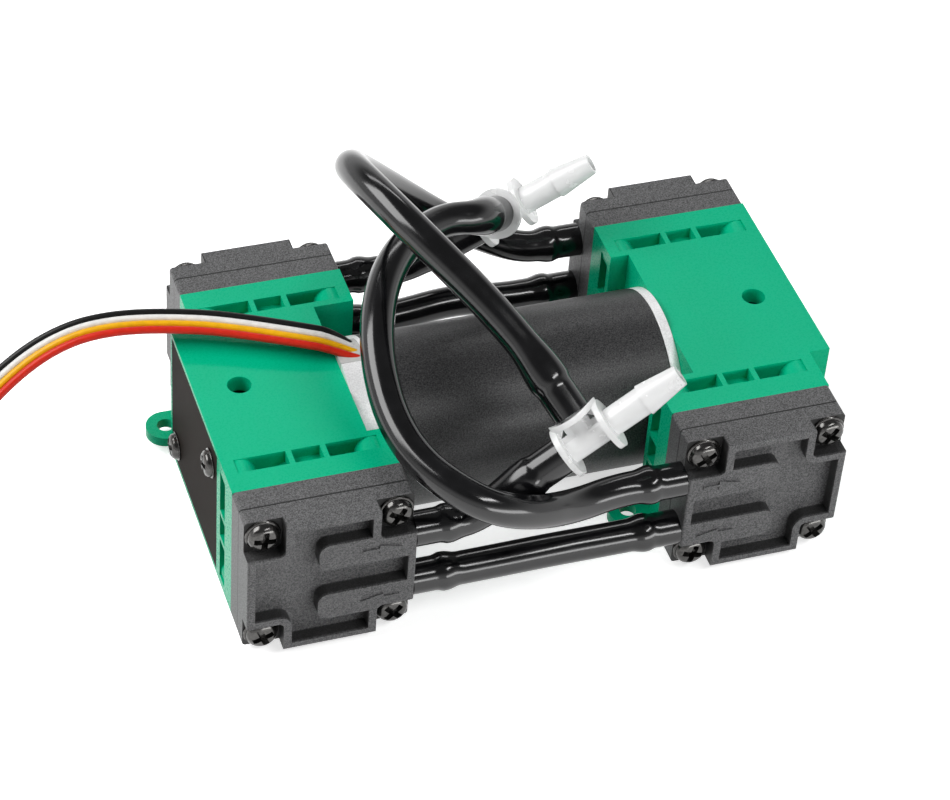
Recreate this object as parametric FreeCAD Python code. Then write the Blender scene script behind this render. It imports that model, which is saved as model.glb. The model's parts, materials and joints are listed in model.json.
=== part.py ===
import FreeCAD, Part
import math
import os

Vec = FreeCAD.Vector
along_x = Vec(1, 0, 0)
along_y = Vec(0, 1, 0)
along_z = Vec(0, 0, 1)

# Twin two-stage diaphragm vacuum pump. Millimetres, Z up, X along the motor shaft.
# The origin is at the centre of the pump, on the surface that the motor can rests on.
# Every piece of the left pump block is the right one turned half round about Z.

# Motor
motor_radius = 18.0
motor_half_length = 33.75
can_wall = 1.2
flange_plate = 2.05
rear_cap_length = 6.25
spigot_length = 2.0
pilot_radius = 6.0
pilot_length = 2.0
shaft_radius = 1.6
shaft_end_gap = 5.3
motor_bearing_radius = 5.0
motor_bearing_width = 3.6
stack_inset = 20.75
tooth_count = 6
tooth_width = 4.4
yoke_thickness = 2.5
shoe_thickness = 1.2
coil_overhang = 4.0
coil_thickness = 2.0
coil_crown = 0.8
winding_depth = 3.8
air_gap = 0.5
board_thickness = 1.2
board_inset = 7.0
motor_screw_circle = 10.0

# Crankcases
flange_gap = 0.7
case_step = 0.6
case_wall = 3.0
side_wall = 2.5
roof_wall = 3.6
corner_post_radius = 3.0
plate_screw_inset_y = 5.4
plate_screw_inset_z = 6.5
plate_screw_length = 8.0
end_plate = 1.5
end_plate_lip = 1.0
access_hole_place = 7.6
access_hole_radius = 2.4

# Head flanges of the crankcases
head_width = 33.4
head_height = 33.0
head_shift = 4.45
flange_wall = 1.5
window_depth = 3.6
flange_outer_plate = 5.0
window_inset = 2.5
window_rib = 1.1
window_rib_place = 3.4
screw_column_radius = 3.3
screw_inset_x = 3.6
screw_inset_z = 3.4
bore_radius = 12.0
bore_wall = 2.2
ear_radius = 4.1
ear_reach = 4.4
ear_thickness = 2.2
ear_hole_radius = 1.75

# Heads
base_thickness = 4.85
cover_thickness = 7.05
edge_round = 2.2
face_round = 0.5
chamber_depth = 3.1
chamber_mouth_radius = 11.0
chamber_floor_radius = 8.8
valve_sheet_thickness = 0.8
valve_sheet_length = 17.0
valve_sheet_height = 22.0
valve_port_place = 6.2
valve_port_radius = 1.9
valve_flap_radius = 2.5
valve_slit = 0.5
valve_hinge = 1.6
pocket_size = 7.4
pocket_depth = 3.3
pocket_round = 1.2
rim_thickness = 1.6
face_recess = 3.0
channel_height = 6.6
channel_inset = 14.0
channel_round = 2.2
channel_chamber_height = 4.4
channel_roof = 1.2
channel_end = 3.0
port_height = 6.6
port_depth = 3.5

# Hoses and their barbs
hose_radius = 3.0
hose_bore = 2.0
hose_wall = 0.9
hose_blend = 1.5
link_straight = 19.0
link_bow = 0.4
front_link_drop = 1.6
back_link_rise = 1.4
port_barb = (2.05, 2.45, 1.85, 6.4, 8.5)
tee_barb = (2.85, 3.2, 2.15, 7.6, 16.0)
port_bore = 1.2
tee_bore = 1.5
tee_half = 5.4
tee_flange_radius = 5.25
tee_flange = 1.2
tee_web = 4.4
tee_window = 1.35
tee_saddle_dip = 0.55
tee_saddle_radius = 13.8
tee_tube_radius = 2.7

# Places of the tees, measured from the port line and the tops of the crankcases
outlet_tee_x = 4.2
outlet_tee_out = 0.7
outlet_tee_rise = 6.7
outlet_feed_straight = 11.9
outlet_branch_straight = 21.0
outlet_loop_straight = 12.7
inlet_tee_x = 10.9
inlet_tee_in = 4.0
inlet_tee_rise = 4.2
inlet_feed_straight = 16.75
inlet_branch_straight = 19.5
inlet_loop_straight = 14.0

# Diaphragms, cranks and rods
diaphragm_thickness = 1.0
diaphragm_radius = 15.0
hub_radius = 6.3
flex_radius = 10.6
stroke_offset = 1.5
crank_pin_radius = 4.0
crank_bearing_radius = 8.0
crank_bearing_width = 4.0
hub_sleeve_radius = 6.0
counterweight_radius = 11.8
counterweight_gap = 1.6
counterweight_thickness = 2.2
rod_screw_gap = 1.45
rod_ring_radius = 10.4
rod_width = 6.4
rod_stem_radius = 3.2
rod_disc = 1.6
rod_neck = 1.5
retainer_radius = 5.5
retainer = 1.2
bolt_radius = 1.5
bolt_reach = 8.0

# Screws
screw_radius = 1.5
screw_head_radius = 3.15
screw_head_height = 2.3
screw_crown_share = 0.62
screw_side_share = 0.55
column_hole_depth = 9.5
plate_screw_head = 1.9

# Leads
lead_radius = 0.8
lead_spacing = 1.72
lead_exit_spacing = 1.95
lead_tip_radius = 0.5
lead_tip_length = 5.0
lead_exit_place = 4.15
lead_exit_sink = 0.8
lead_exit_angle = 12.4
lead_lift = 3.5
grommet_start = -0.5
grommet_end = 8.1
grommet_length = 5.2
grommet_depth = 3.6

# Clearances
fit_gap = 0.02
running_gap = 0.05
seat_gap = 0.1

axis_height = motor_radius
stack_half_length = motor_half_length - stack_inset
rotor_radius = motor_radius - can_wall - yoke_thickness - winding_depth - shoe_thickness - air_gap
block_half_depth = motor_radius + flange_gap
top_height = axis_height + head_height / 2
case_bottom = axis_height - head_height / 2 + case_step
cavity_half_depth = block_half_depth - side_wall
cavity_half_height = head_height / 2 - roof_wall
flange_face = block_half_depth + flange_wall + window_depth + flange_outer_plate
base_face = flange_face + base_thickness
cover_face = base_face + cover_thickness
block_inner = motor_half_length + running_gap
front_x = block_inner + case_wall + plate_screw_head + rod_screw_gap + crank_bearing_width / 2
back_x = front_x + head_shift
block_outer = back_x + head_width / 2
plate_floor = block_outer - end_plate
access_hole_x = back_x + access_hole_place
shaft_half_length = block_outer - shaft_end_gap
diaphragm_seat = flange_face - diaphragm_thickness
port_line = cover_face - port_depth
lead_height = top_height + lead_lift
pocket_floor = cover_face - pocket_depth
axis_point = Vec(0, 0, axis_height)


def box(x0, x1, y0, y1, z0, z1):
    return Part.makeBox(x1 - x0, y1 - y0, z1 - z0, Vec(x0, y0, z0))


def rod_x(radius, x0, x1, y=0.0, z=axis_height):
    return Part.makeCylinder(radius, x1 - x0, Vec(x0, y, z), along_x)


def rod_y(radius, y0, y1, x=0.0, z=axis_height):
    return Part.makeCylinder(radius, y1 - y0, Vec(x, y0, z), along_y)


def rod_z(radius, z0, z1, x, y):
    return Part.makeCylinder(radius, z1 - z0, Vec(x, y, z0), along_z)


def moved(shape, x=0.0, y=0.0, z=0.0):
    copy = shape.copy()
    copy.translate(Vec(x, y, z))
    return copy


def turned(shape, centre, axis, angle):
    copy = shape.copy()
    copy.rotate(centre, axis, angle)
    return copy


def half_turn(shape):
    return turned(shape, Vec(0, 0, 0), along_z, 180)


def seat_back(shape):
    return moved(shape, back_x)


def seat_front(shape):
    return moved(turned(shape, axis_point, along_x, 180), front_x)


def revolved(profile, origin, direction):
    """Solid of revolution: profile holds (distance along the axis, radius) corners."""
    points = [Vec(radius, 0, distance) for distance, radius in profile]
    points.append(points[0])
    face = Part.Face(Part.makePolygon(points))
    solid = face.revolve(Vec(0, 0, 0), along_z, 360)
    solid.Placement = FreeCAD.Placement(origin, FreeCAD.Rotation(along_z, direction))
    return solid


def fused(first, others):
    return first.fuse(list(others)).removeSplitter()


def save(name, shape):
    shape.exportStep("parts/" + name + ".step")


def save_both(right_name, left_name, shape):
    save(right_name, shape)
    save(left_name, half_turn(shape))


def corner_places():
    across = head_width / 2 - screw_inset_x
    up = head_height / 2 - screw_inset_z
    return [(sx * across, sz * up) for sx in (-1, 1) for sz in (-1, 1)]


def edges_along_y(block):
    return [edge for edge in block.Edges if abs(edge.tangentAt(edge.FirstParameter).y) > 0.9]


def rounded_block(width, height, y0, y1, radius):
    block = box(-width / 2, width / 2, y0, y1, axis_height - height / 2, axis_height + height / 2)
    return block.makeFillet(radius, edges_along_y(block))


# Crankcases

def flange():
    """One head flange pointing along +Y, with windows on its four sides round the bore."""
    half = head_width / 2
    near = block_half_depth
    window_near = near + flange_wall
    window_far = window_near + window_depth
    inset = half - window_inset
    height_inset = head_height / 2 - window_inset
    upright = box(-inset, inset, window_near, window_far, case_bottom, top_height)
    sideways = box(-half, half, window_near, window_far,
                   axis_height - height_inset, axis_height + height_inset)
    kept = [rod_y(bore_radius + bore_wall, window_near, window_far)]
    for x, z in corner_places():
        kept.append(rod_y(screw_column_radius, window_near, window_far, x, axis_height + z))
    for place in (-window_rib_place, window_rib_place):
        low = place - window_rib / 2
        high = place + window_rib / 2
        kept.append(box(low, high, window_near, window_far, case_bottom, top_height))
        kept.append(box(-half, half, window_near, window_far, axis_height + low, axis_height + high))
    cuts = [upright.fuse(sideways).cut(kept)]
    cuts.append(rod_y(bore_radius, near, flange_face))
    cuts.append(rod_y(diaphragm_radius + seat_gap, diaphragm_seat, flange_face))
    for x, z in corner_places():
        cuts.append(rod_y(screw_radius, flange_face - column_hole_depth, flange_face, x, axis_height + z))
    return box(-half, half, near, flange_face, case_bottom, top_height).cut(cuts)


def ear(side):
    """Fixing ear with a bolt hole, low on one side of a flange that points along +Y."""
    half = head_width / 2
    middle = (block_half_depth + flange_face) / 2
    top = case_bottom + ear_thickness
    centre = side * (half + ear_reach)
    pad = rod_z(ear_radius, case_bottom, top, centre, middle)
    low = min(side * half, centre)
    arm = box(low, low + ear_reach, middle - ear_radius, middle + ear_radius, case_bottom, top)
    return pad.fuse(arm).cut(rod_z(ear_hole_radius, case_bottom, top, centre, middle))


def plate_screw_places():
    across = block_half_depth - plate_screw_inset_y
    up = head_height / 2 - plate_screw_inset_z
    return [(-across, -up), (across, up)]


def motor_screw_places():
    reach = motor_screw_circle / math.sqrt(2)
    return [(sy * reach, sz * reach) for sy in (-1, 1) for sz in (-1, 1)]


def crankcase():
    block = box(block_inner, block_outer, -block_half_depth, block_half_depth, case_bottom, top_height)
    front = half_turn(flange().fuse([ear(-1), ear(1)]))
    solid = block.fuse([moved(flange(), back_x), moved(front, front_x)])
    cavity = box(block_inner + case_wall, plate_floor, -cavity_half_depth, cavity_half_depth,
                 axis_height - cavity_half_height, axis_height + cavity_half_height)
    posts = [rod_x(corner_post_radius, block_inner, block_outer, y, axis_height + z)
             for y, z in plate_screw_places()]
    cuts = [cavity.cut(posts)]
    cuts.append(rod_y(bore_radius, 0, block_half_depth, back_x))
    cuts.append(rod_y(bore_radius, -block_half_depth, 0, front_x))
    cuts.append(end_plate_space(0))
    cuts.append(rod_x(pilot_radius + seat_gap, block_inner, block_inner + case_wall))
    cuts.append(rod_z(access_hole_radius, axis_height, top_height, access_hole_x, 0))
    for y, z in plate_screw_places():
        cuts.append(rod_x(screw_radius, plate_floor - plate_screw_length, plate_floor, y, axis_height + z))
    for y, z in motor_screw_places():
        cuts.append(rod_x(screw_radius, block_inner, block_inner + case_wall, y, axis_height + z))
    return solid.cut(cuts).removeSplitter()


def end_plate_space(gap):
    side = block_half_depth - end_plate_lip - gap
    return box(plate_floor, block_outer, -side, side,
               case_bottom + end_plate_lip + gap, top_height - end_plate_lip - gap)


def end_cover():
    plate = end_plate_space(seat_gap)
    holes = [rod_x(screw_radius + seat_gap, plate_floor, block_outer, y, axis_height + z)
             for y, z in plate_screw_places()]
    return plate.cut(holes)


def screw(base, direction, length, head_radius, head_height):
    """Pan-head screw whose head sits at base; the shank runs against direction."""
    shank = screw_radius - fit_gap
    profile = [(-length, 0), (-length, shank), (0, shank), (0, head_radius),
               (head_height * screw_side_share, head_radius), (head_height, head_radius * screw_crown_share),
               (head_height, 0)]
    return revolved(profile, base, direction)


def end_cover_screws():
    screws = [screw(Vec(block_outer, y, axis_height + z), along_x, plate_screw_length + end_plate - seat_gap,
                    screw_head_radius, plate_screw_head) for y, z in plate_screw_places()]
    return Part.makeCompound(screws + [half_turn(one) for one in screws])


# Heads, drawn at x = 0 with the outer face along +Y and the ports along -X

def head_base():
    solid = rounded_block(head_width, head_height, flange_face, base_face, edge_round)
    floor = flange_face + chamber_depth
    chamber = [(0, 0), (0, chamber_mouth_radius), (chamber_depth, chamber_floor_radius), (chamber_depth, 0)]
    cuts = [revolved(chamber, Vec(0, flange_face, axis_height), along_y)]
    for side in (-1, 1):
        cuts.append(rod_y(valve_port_radius, floor, base_face, 0, axis_height + side * valve_port_place))
    for x, z in corner_places():
        cuts.append(rod_y(screw_radius + seat_gap, flange_face, base_face, x, axis_height + z))
    return solid.cut(cuts).removeSplitter()


def valve_sheet():
    """Rubber sheet with two round flaps, each held by a hinge between the ends of its slit."""
    sheet = box(-valve_sheet_length / 2, valve_sheet_length / 2, base_face, base_face + valve_sheet_thickness,
                axis_height - valve_sheet_height / 2, axis_height + valve_sheet_height / 2)
    slits = []
    for side in (-1, 1):
        z = axis_height + side * valve_port_place
        outer = rod_y(valve_flap_radius + valve_slit, base_face, base_face + valve_sheet_thickness, 0, z)
        inner = rod_y(valve_flap_radius, base_face, base_face + valve_sheet_thickness, 0, z)
        hinge = box(0, valve_flap_radius + 2 * valve_slit, base_face, base_face + valve_sheet_thickness,
                    z - valve_hinge / 2, z + valve_hinge / 2)
        slits.append(outer.cut([inner, hinge]))
    return sheet.cut(slits)


def corner_pocket(x_side, z_side, size, corner):
    """Space in one corner of the outer face, with its inner corner rounded."""
    x0 = min(x_side * head_width / 2, x_side * (head_width / 2 - size))
    z0 = axis_height + min(z_side * head_height / 2, z_side * (head_height / 2 - size))
    block = box(x0, x0 + size, pocket_floor, cover_face, z0, z0 + size)
    middle = Vec(0, pocket_floor, axis_height)
    inner_edge = min(edges_along_y(block), key=lambda edge: edge.CenterOfMass.distanceToPoint(middle))
    return block.makeFillet(corner, [inner_edge])


def channel(side):
    """Raised channel over one valve, from the port side to its rounded end."""
    z = axis_height + side * port_height
    end = head_width / 2 - channel_inset
    bar = box(-head_width / 2, end, cover_face - face_recess, cover_face, z - channel_height / 2,
              z + channel_height / 2)
    end_edges = [edge for edge in edges_along_y(bar) if edge.CenterOfMass.x > 0]
    return bar.makeFillet(channel_round, end_edges)


def channel_chamber(side):
    z = axis_height + side * port_height
    start = head_width / 2 - channel_inset - channel_height / 2
    roof = cover_face - channel_roof
    half = channel_chamber_height / 2
    bar = box(channel_end - head_width / 2, start, base_face, roof, z - half, z + half)
    return bar.fuse(rod_y(half, base_face, roof, start, z))


def barb(sizes, bore, origin, direction):
    """Hose barb: root radius, ridge radius, tip radius, place of the ridge and length."""
    root, ridge, tip, ridge_place, length = sizes
    profile = [(0, bore), (0, root), (ridge_place, root), (ridge_place, ridge), (length, tip), (length, bore)]
    return revolved(profile, origin, direction)


def head_cover():
    solid = rounded_block(head_width, head_height, base_face, cover_face, edge_round)
    outer_edges = [edge for edge in solid.Edges if edge.CenterOfMass.y > cover_face - fit_gap]
    solid = solid.makeFillet(face_round, outer_edges)
    inner_width = head_width - 2 * rim_thickness
    inner_height = head_height - 2 * rim_thickness
    recess = rounded_block(inner_width, inner_height, cover_face - face_recess, cover_face, edge_round)
    sides = [(sx, sz) for sx in (-1, 1) for sz in (-1, 1)]
    pockets = [corner_pocket(sx, sz, pocket_size, pocket_round) for sx, sz in sides]
    rims = [corner_pocket(sx, sz, pocket_size + rim_thickness, pocket_round + rim_thickness)
            for sx, sz in sides]
    recess = recess.cut(rims + [channel(-1), channel(1)])
    cuts = [recess] + pockets
    cuts.append(box(-valve_sheet_length / 2 - seat_gap, valve_sheet_length / 2 + seat_gap, base_face,
                    base_face + valve_sheet_thickness, axis_height - valve_sheet_height / 2 - seat_gap,
                    axis_height + valve_sheet_height / 2 + seat_gap))
    for side in (-1, 1):
        cuts.append(channel_chamber(side))
        cuts.append(rod_x(port_bore, -head_width / 2, channel_end - head_width / 2, port_line,
                          axis_height + side * port_height))
    for x, z in corner_places():
        cuts.append(rod_y(screw_radius + seat_gap, base_face, pocket_floor, x, axis_height + z))
    solid = solid.cut(cuts)
    barbs = [barb(port_barb, port_bore, port_place(side), along_x.negative()) for side in (-1, 1)]
    return fused(solid, barbs)


def port_place(side):
    return Vec(-head_width / 2, port_line, axis_height + side * port_height)


def head_screws():
    one_head = [screw(Vec(x, pocket_floor, axis_height + z), along_y,
                      pocket_floor - flange_face + column_hole_depth - seat_gap, screw_head_radius,
                      screw_head_height) for x, z in corner_places()]
    screws = []
    for one in one_head:
        screws += [seat_back(one), seat_front(one)]
    return Part.makeCompound(screws + [half_turn(one) for one in screws])


# Diaphragms and rods, drawn at x = 0 along +Y with the hub moved out by the given stroke

def diaphragm(stroke):
    inner = diaphragm_seat
    outer = flange_face
    profile = [(inner + stroke, bolt_radius + seat_gap), (inner + stroke, hub_radius), (inner, flex_radius),
               (inner, diaphragm_radius), (outer, diaphragm_radius), (outer, flex_radius),
               (outer + stroke, hub_radius), (outer + stroke, bolt_radius + seat_gap)]
    return revolved(profile, axis_point, along_y)


def connecting_rod(stroke, pin_y):
    """Rod with a bearing ring round the crank pin and a disc under the diaphragm hub."""
    disc_face = diaphragm_seat + stroke
    half = crank_bearing_width / 2
    stem_start = pin_y + rod_ring_radius + rod_neck
    ring = rod_x(rod_ring_radius, -half, half, pin_y)
    neck = box(-half, half, pin_y, stem_start, axis_height - rod_width / 2, axis_height + rod_width / 2)
    stem = rod_y(rod_stem_radius, stem_start, disc_face)
    disc = rod_y(hub_radius - seat_gap, disc_face - rod_disc, disc_face)
    solid = fused(ring, [neck, stem, disc])
    bore = rod_x(crank_bearing_radius + running_gap, -half, half, pin_y)
    bolt_hole = rod_y(bolt_radius, disc_face - bolt_reach, disc_face)
    return solid.cut([bore, bolt_hole])


def diaphragm_bolt(stroke):
    """Clamping disc over the diaphragm hub with the bolt that holds it to the rod."""
    face = flange_face + stroke
    disc = rod_y(retainer_radius, face, face + retainer)
    shank = rod_y(bolt_radius - fit_gap, diaphragm_seat + stroke - bolt_reach + seat_gap, face)
    return disc.fuse(shank).removeSplitter()


# Cranks

def eccentric():
    pin_start = front_x - crank_bearing_width / 2 - seat_gap
    pin_end = back_x + crank_bearing_width / 2 + seat_gap
    pin = rod_x(crank_pin_radius, pin_start, pin_end, stroke_offset)
    sleeve = rod_x(hub_sleeve_radius, pin_end, shaft_half_length)
    counterweight_start = pin_end + counterweight_gap
    counterweight_end = counterweight_start + counterweight_thickness
    disc = rod_x(counterweight_radius, counterweight_start, counterweight_end)
    half_disc = disc.cut(box(counterweight_start, counterweight_end, -hub_sleeve_radius / 2,
                             counterweight_radius, 0, top_height))
    solid = fused(pin, [sleeve, half_disc])
    bore = rod_x(shaft_radius + fit_gap, pin_start, shaft_half_length)
    return solid.cut([bore, set_screw_hole()])


def set_screw_hole():
    return rod_z(screw_radius, axis_height, axis_height + hub_sleeve_radius, access_hole_x, 0)


def set_screws():
    one = rod_z(screw_radius - fit_gap, axis_height + shaft_radius + fit_gap,
                axis_height + hub_sleeve_radius - seat_gap, access_hole_x, 0)
    return Part.makeCompound([one, half_turn(one)])


def crank_bearings():
    rings = []
    for x in (front_x, back_x):
        half = crank_bearing_width / 2
        ring = rod_x(crank_bearing_radius, x - half, x + half, stroke_offset)
        rings.append(ring.cut(rod_x(crank_pin_radius + fit_gap, x - half, x + half, stroke_offset)))
    return Part.makeCompound(rings)


# Motor

def motor_can():
    start = rear_cap_length - motor_half_length
    end = motor_half_length - flange_plate
    return rod_x(motor_radius, start, end).cut(rod_x(motor_radius - can_wall, start, end))


def motor_end(plate):
    """End cap on the +X side: skirt, spigot in the can, bearing pocket and pilot boss."""
    end = motor_half_length
    inner = end - plate
    skirt_bore = motor_radius - 2 * can_wall
    pocket_start = end - motor_bearing_width
    housing_start = min(pocket_start, inner) - spigot_length
    body = rod_x(motor_radius, inner, end)
    spigot = rod_x(motor_radius - can_wall - fit_gap, inner - spigot_length, inner)
    hollow = rod_x(skirt_bore, inner - spigot_length, end - flange_plate)
    housing = rod_x(motor_bearing_radius + spigot_length, housing_start, end)
    pilot = rod_x(pilot_radius, end, end + pilot_length)
    solid = fused(body.fuse(spigot).cut(hollow), [housing, pilot])
    cuts = [rod_x(motor_bearing_radius + fit_gap, pocket_start, end)]
    cuts.append(rod_x(shaft_radius + air_gap, housing_start, end + pilot_length))
    for y, z in motor_screw_places():
        cuts.append(rod_x(screw_radius, end - flange_plate, end, y, axis_height + z))
    return solid.cut(cuts)


def rear_cap():
    """Left end cap, notched at its top for the leads."""
    return half_turn(motor_end(rear_cap_length)).cut(grommet_block(seat_gap))


def grommet_block(gap):
    x0 = -motor_half_length
    top = axis_height + motor_radius
    return box(x0, x0 + grommet_length + gap, grommet_start - gap, grommet_end + gap,
               top - grommet_depth - gap, top)


def cable_grommet():
    """Block that the four leads leave by, flush with the cap, each lead in a hole along its first run."""
    holes = []
    for index in range(len(lead_order)):
        points = lead_points(index)
        run = points[1] - points[0]
        holes.append(Part.makeCylinder(lead_radius + fit_gap, run.Length, points[0], run))
    block = grommet_block(0).common(rod_x(motor_radius, -motor_half_length, 0))
    return block.cut(holes)


def motor_bearings():
    end = motor_half_length
    ring = rod_x(motor_bearing_radius, end - motor_bearing_width, end)
    ring = ring.cut(rod_x(shaft_radius + running_gap, end - motor_bearing_width, end))
    return Part.makeCompound([ring, half_turn(ring)])


def tooth(width, inner, outer, half_length):
    return box(-half_length, half_length, -width / 2, width / 2, axis_height + inner, axis_height + outer)


def stator_core():
    outer = motor_radius - can_wall - fit_gap
    inner = rotor_radius + air_gap
    half = stack_half_length
    ring = rod_x(outer, -half, half).cut(rod_x(outer - yoke_thickness, -half, half))
    shoes = rod_x(inner + shoe_thickness, -half, half).cut(rod_x(inner, -half, half))
    pieces = []
    for index in range(tooth_count):
        angle = index * 360 / tooth_count
        arm = tooth(tooth_width, inner + shoe_thickness / 2, outer - yoke_thickness / 2, half)
        pieces.append(turned(arm, axis_point, along_x, angle))
        slot = tooth(tooth_width / 3, inner - shoe_thickness, inner + 2 * shoe_thickness, half)
        shoes = shoes.cut(turned(slot, axis_point, along_x, angle + 180 / tooth_count))
    return fused(ring, [shoes] + pieces)


def stator_windings():
    core_outer = motor_radius - can_wall - fit_gap - yoke_thickness
    inner = rotor_radius + air_gap + shoe_thickness + seat_gap
    outer = core_outer - seat_gap
    coils = []
    half = stack_half_length
    for index in range(tooth_count):
        coil = tooth(tooth_width + 2 * coil_thickness, inner + seat_gap, outer - coil_crown,
                     half + coil_overhang)
        coil = coil.cut(tooth(tooth_width + 2 * seat_gap, inner - 1, outer + 1, half + seat_gap))
        coils.append(turned(coil, axis_point, along_x, index * 360 / tooth_count))
    return Part.makeCompound(coils)


def rotor_magnet():
    half = stack_half_length
    return rod_x(rotor_radius, -half, half).cut(rod_x(shaft_radius + fit_gap, -half, half))


def control_board():
    start = rear_cap_length - motor_half_length + board_inset
    end = start + board_thickness
    disc = rod_x(motor_radius - can_wall - seat_gap, start, end)
    return disc.cut(rod_x(motor_bearing_radius, start, end))


def motor_screws():
    base = block_inner + case_wall
    screws = [screw(Vec(base, y, axis_height + z), along_x, case_wall + flange_plate,
                    screw_head_radius, plate_screw_head) for y, z in motor_screw_places()]
    return Part.makeCompound(screws + [half_turn(one) for one in screws])


# Tees: the run lies along local X and the branch along local Y

def tee(centre, run, branch):
    half = tee_half
    plate_start = half - tee_flange
    core = Part.makeCylinder(tee_tube_radius, 2 * half, Vec(-half, 0, 0), along_x)
    pieces = [Part.makeCylinder(tee_tube_radius, half, Vec(0, 0, 0), along_y)]
    pieces.append(tee_saddle())
    for axis in (along_x, along_x.negative(), along_y):
        pieces.append(barb(tee_barb, 0, axis * half, axis))
    pieces.append(Part.makeCylinder(tee_barb[0], tee_saddle_dip, along_y * (half - tee_saddle_dip), along_y))
    for axis in (along_x, along_x.negative()):
        pieces.append(Part.makeCylinder(tee_flange_radius, tee_flange, axis * plate_start, axis))
    web = Part.makeBox(2 * plate_start, half, tee_web, Vec(-plate_start, 0, -tee_web / 2))
    pieces.append(web.cut([web_window(-1), web_window(1), saddle_space(tee_saddle_radius)]))
    solid = fused(core, pieces)
    reach = half + tee_barb[4]
    bores = [Part.makeCylinder(tee_bore, 2 * reach, Vec(-reach, 0, 0), along_x)]
    bores.append(Part.makeCylinder(tee_bore, reach, Vec(0, 0, 0), along_y))
    solid = solid.cut(bores)
    solid.Placement = FreeCAD.Placement(centre, FreeCAD.Rotation(run, branch, run.cross(branch), "XYZ"))
    return solid


def web_window(side):
    """Small triangular window beside the branch tube."""
    x = side * tee_tube_radius
    y = tee_tube_radius
    points = [Vec(x, y, -tee_web), Vec(x + side * tee_window, y, -tee_web), Vec(x, y + tee_window, -tee_web)]
    face = Part.Face(Part.makePolygon(points + points[:1]))
    return face.extrude(Vec(0, 0, 2 * tee_web))


def saddle_space(radius):
    """Round space whose side dips towards the run, in front of the branch."""
    centre = tee_half - tee_saddle_dip + tee_saddle_radius
    return Part.makeCylinder(radius, 4 * tee_half, Vec(0, centre, -2 * tee_half), along_z)


def tee_saddle():
    """Flange of the branch, bent so that its ends rise beside the run's flanges."""
    disc = Part.makeCylinder(tee_flange_radius, tee_half + tee_flange, Vec(0, 0, 0), along_y)
    bent = disc.common(saddle_space(tee_saddle_radius + tee_flange))
    return bent.cut(saddle_space(tee_saddle_radius))


# Hoses and leads

def bend_path(points, share=0.45):
    """Straight runs joined by tangent arcs; each arc is as large as its two runs allow."""
    edges = []
    radii = []
    start = points[0]
    for before, corner, after in zip(points, points[1:], points[2:]):
        back = before - corner
        forward = after - corner
        cut = share * min(back.Length, forward.Length)
        half_turn_angle = (math.pi - back.getAngle(forward)) / 2
        radii.append(cut / math.tan(half_turn_angle))
        back.normalize()
        forward.normalize()
        first = corner + back * cut
        last = corner + forward * cut
        bisector = (back + forward).normalize()
        middle = corner + bisector * (radii[-1] / math.cos(half_turn_angle) - radii[-1])
        edges.append(Part.LineSegment(start, first).toShape())
        edges.append(Part.Arc(first, middle, last).toShape())
        start = last
    edges.append(Part.LineSegment(start, points[-1]).toShape())
    return Part.Wire(edges), radii


def tube(path, points, radius):
    circle = Part.Wire([Part.makeCircle(radius, points[0], points[1] - points[0])])
    return path.makePipeShell([circle], True, False)


def report_route(name, points, path, radii, solid, section):
    print(name, "length", round(path.Length, 1), "least radius", round(min(radii), 1),
          "volume share", round(solid.Volume / (section * path.Length), 3))


def sleeve(sizes, face, direction):
    """Outside of the hose where it is stretched over a barb."""
    root, ridge, tip, ridge_place, length = sizes
    blend = length + hose_blend
    profile = [(0, 0), (0, root + hose_wall), (ridge_place - hose_wall, root + hose_wall),
               (ridge_place, ridge + hose_wall), (ridge_place + hose_wall, ridge + hose_wall),
               (blend, (hose_radius + hose_bore) / 2), (blend, 0)]
    return revolved(profile, face, direction)


def barb_space(sizes, face, direction):
    root, ridge, tip, ridge_place, length = sizes
    gap = fit_gap
    profile = [(0, 0), (0, root + gap), (ridge_place - gap, root + gap), (ridge_place - gap, ridge + gap),
               (ridge_place + gap, ridge + gap), (length + seat_gap, tip + gap), (length + seat_gap, 0)]
    return revolved(profile, face, direction)


def hose(name, points, start_barb, end_barb):
    path, radii = bend_path(points)
    outside = tube(path, points, hose_radius)
    section = math.pi * hose_radius ** 2
    report_route(name, points, path, radii, outside, section)
    ends = [(start_barb, points[0], points[1] - points[0]), (end_barb, points[-1], points[-2] - points[-1])]
    sleeves = [sleeve(sizes, face, direction) for sizes, face, direction in ends]
    spaces = [barb_space(sizes, face, direction) for sizes, face, direction in ends]
    solid = outside.fuse(sleeves)
    solid = solid.cut([tube(path, points, hose_bore)] + spaces)
    save(name, solid)


def lead(name, points):
    path, radii = bend_path(points)
    solid = tube(path, points, lead_radius)
    report_route(name, points, path, radii, solid, math.pi * lead_radius ** 2)
    save(name, solid)


def lead_tip(points):
    """Stripped and tinned end of one lead."""
    direction = (points[-1] - points[-2]).normalize()
    return Part.makeCylinder(lead_tip_radius, lead_tip_length, points[-1], direction)


def on_line(centre, direction, reach):
    return centre + direction * reach


def square_to(direction, other):
    """The given direction made square to another."""
    return (direction - other * direction.dot(other)).normalize()


def port(x, side_y, side_z):
    """Face of a head cover at the root of one barb."""
    return Vec(x, side_y * port_line, axis_height + side_z * port_height)


def ahead(face, reach):
    """Point on the line of a port, towards the middle of the pump."""
    return Vec(face.x - math.copysign(reach, face.x), face.y, face.z)


back_right_x = block_outer - head_width
front_right_x = back_right_x - head_shift
front_left_outlet = port(-back_right_x, -1, 1)
front_right_inlet = port(front_right_x, -1, 1)
back_right_outlet = port(back_right_x, 1, 1)
back_left_inlet = port(-front_right_x, 1, 1)

# Tees: the run of each one points at the line of the port that it is fed from

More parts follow.
